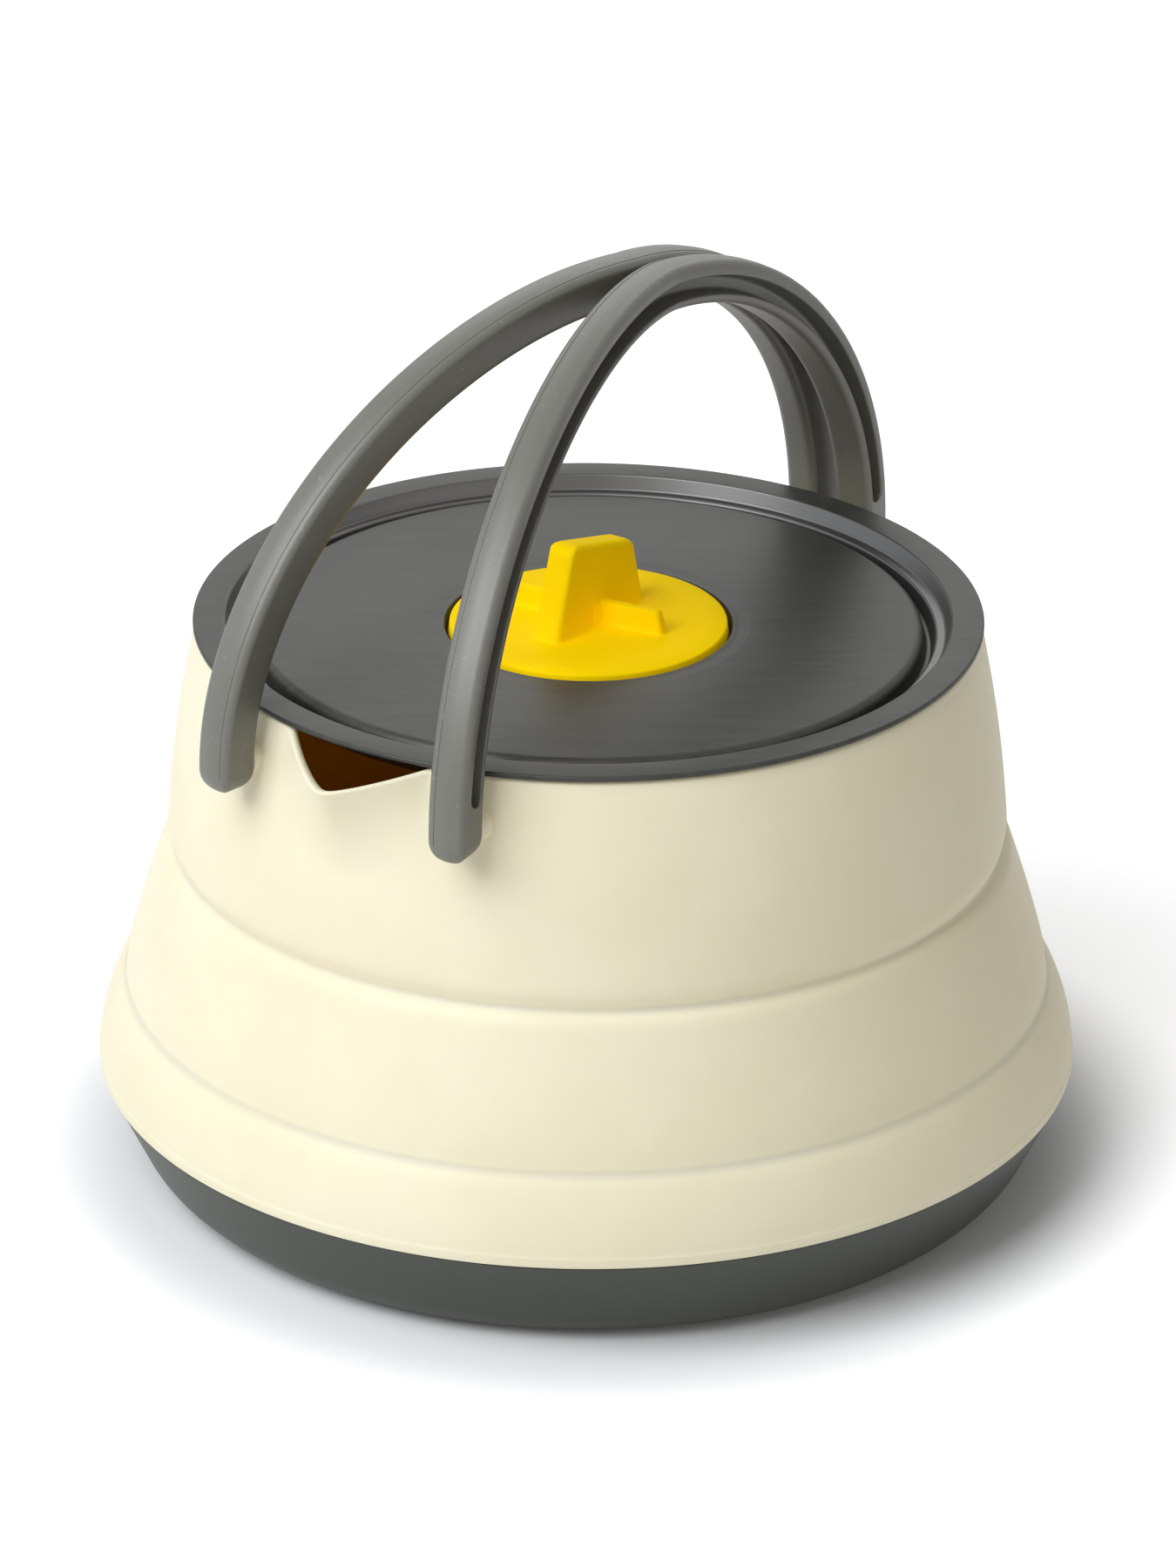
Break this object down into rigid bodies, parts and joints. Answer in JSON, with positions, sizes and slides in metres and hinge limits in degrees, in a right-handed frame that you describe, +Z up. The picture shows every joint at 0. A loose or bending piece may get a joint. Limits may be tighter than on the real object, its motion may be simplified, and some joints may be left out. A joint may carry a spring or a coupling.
{
  "type": "collapsible kettle",
  "caption": "Collapsible camping kettle with a folding silicone wall, metal pan, pouring lip, twin swinging bail handles and a flat lid with a finned knob.",
  "frame": {"origin": "on the kettle axis at the ground, the middle of the flat bottom", "axes": "+Z up along the kettle axis, the pouring lip towards -Y, the bails to the left (-X) and right (+X)"},
  "size_m": [0.1616, 0.1616, 0.1512],
  "materials": {
    "base_pan": "dark satin anodised",
    "silicone": "soft matte silicone",
    "rim_ring": "matte moulded nylon",
    "handle": "matte grey moulded nylon with a fine speckle",
    "lid_plate": "dark satin anodised with a fine straight grain",
    "lid_knob": "matte yellow moulded plastic",
    "steel": "plain steel"
  },
  "bodies": {
    "base": {"base_pan": "base_pan", "lower_wall": "silicone", "fold_wall": "silicone"},
    "top": {"upper_wall": "silicone", "rim_ring": "rim_ring", "pivot_pin_front_left": "steel", "pivot_pin_front_right": "steel", "pivot_pin_rear_left": "steel", "pivot_pin_rear_right": "steel"},
    "bail_left": {"handle_left": "handle"},
    "bail_right": {"handle_right": "handle"},
    "lid": {"lid_plate": "lid_plate", "lid_knob": "lid_knob", "knob_backing": "steel", "knob_screw": "steel"}
  },
  "joints": [
    {"name": "collapse", "type": "slide", "parent": "base", "child": "top", "axis": [0, 0, 1], "range_m": [-0.046, 0], "deforming": ["fold_wall"]},
    {"name": "left_handle_fold", "type": "hinge", "parent": "top", "child": "bail_left", "pos_m": [-0.0222, -0.06709, 0.0858], "axis": [-0.1228, -0.9924, 0], "range_deg": [0, 90]},
    {"name": "right_handle_fold", "type": "hinge", "parent": "top", "child": "bail_right", "pos_m": [0.0222, -0.06709, 0.0858], "axis": [-0.1228, 0.9924, 0], "range_deg": [0, 90]},
    {"name": "lid_lift", "type": "slide", "parent": "top", "child": "lid", "axis": [0, 0, 1], "range_m": [0, 0.0024]}
  ]
}
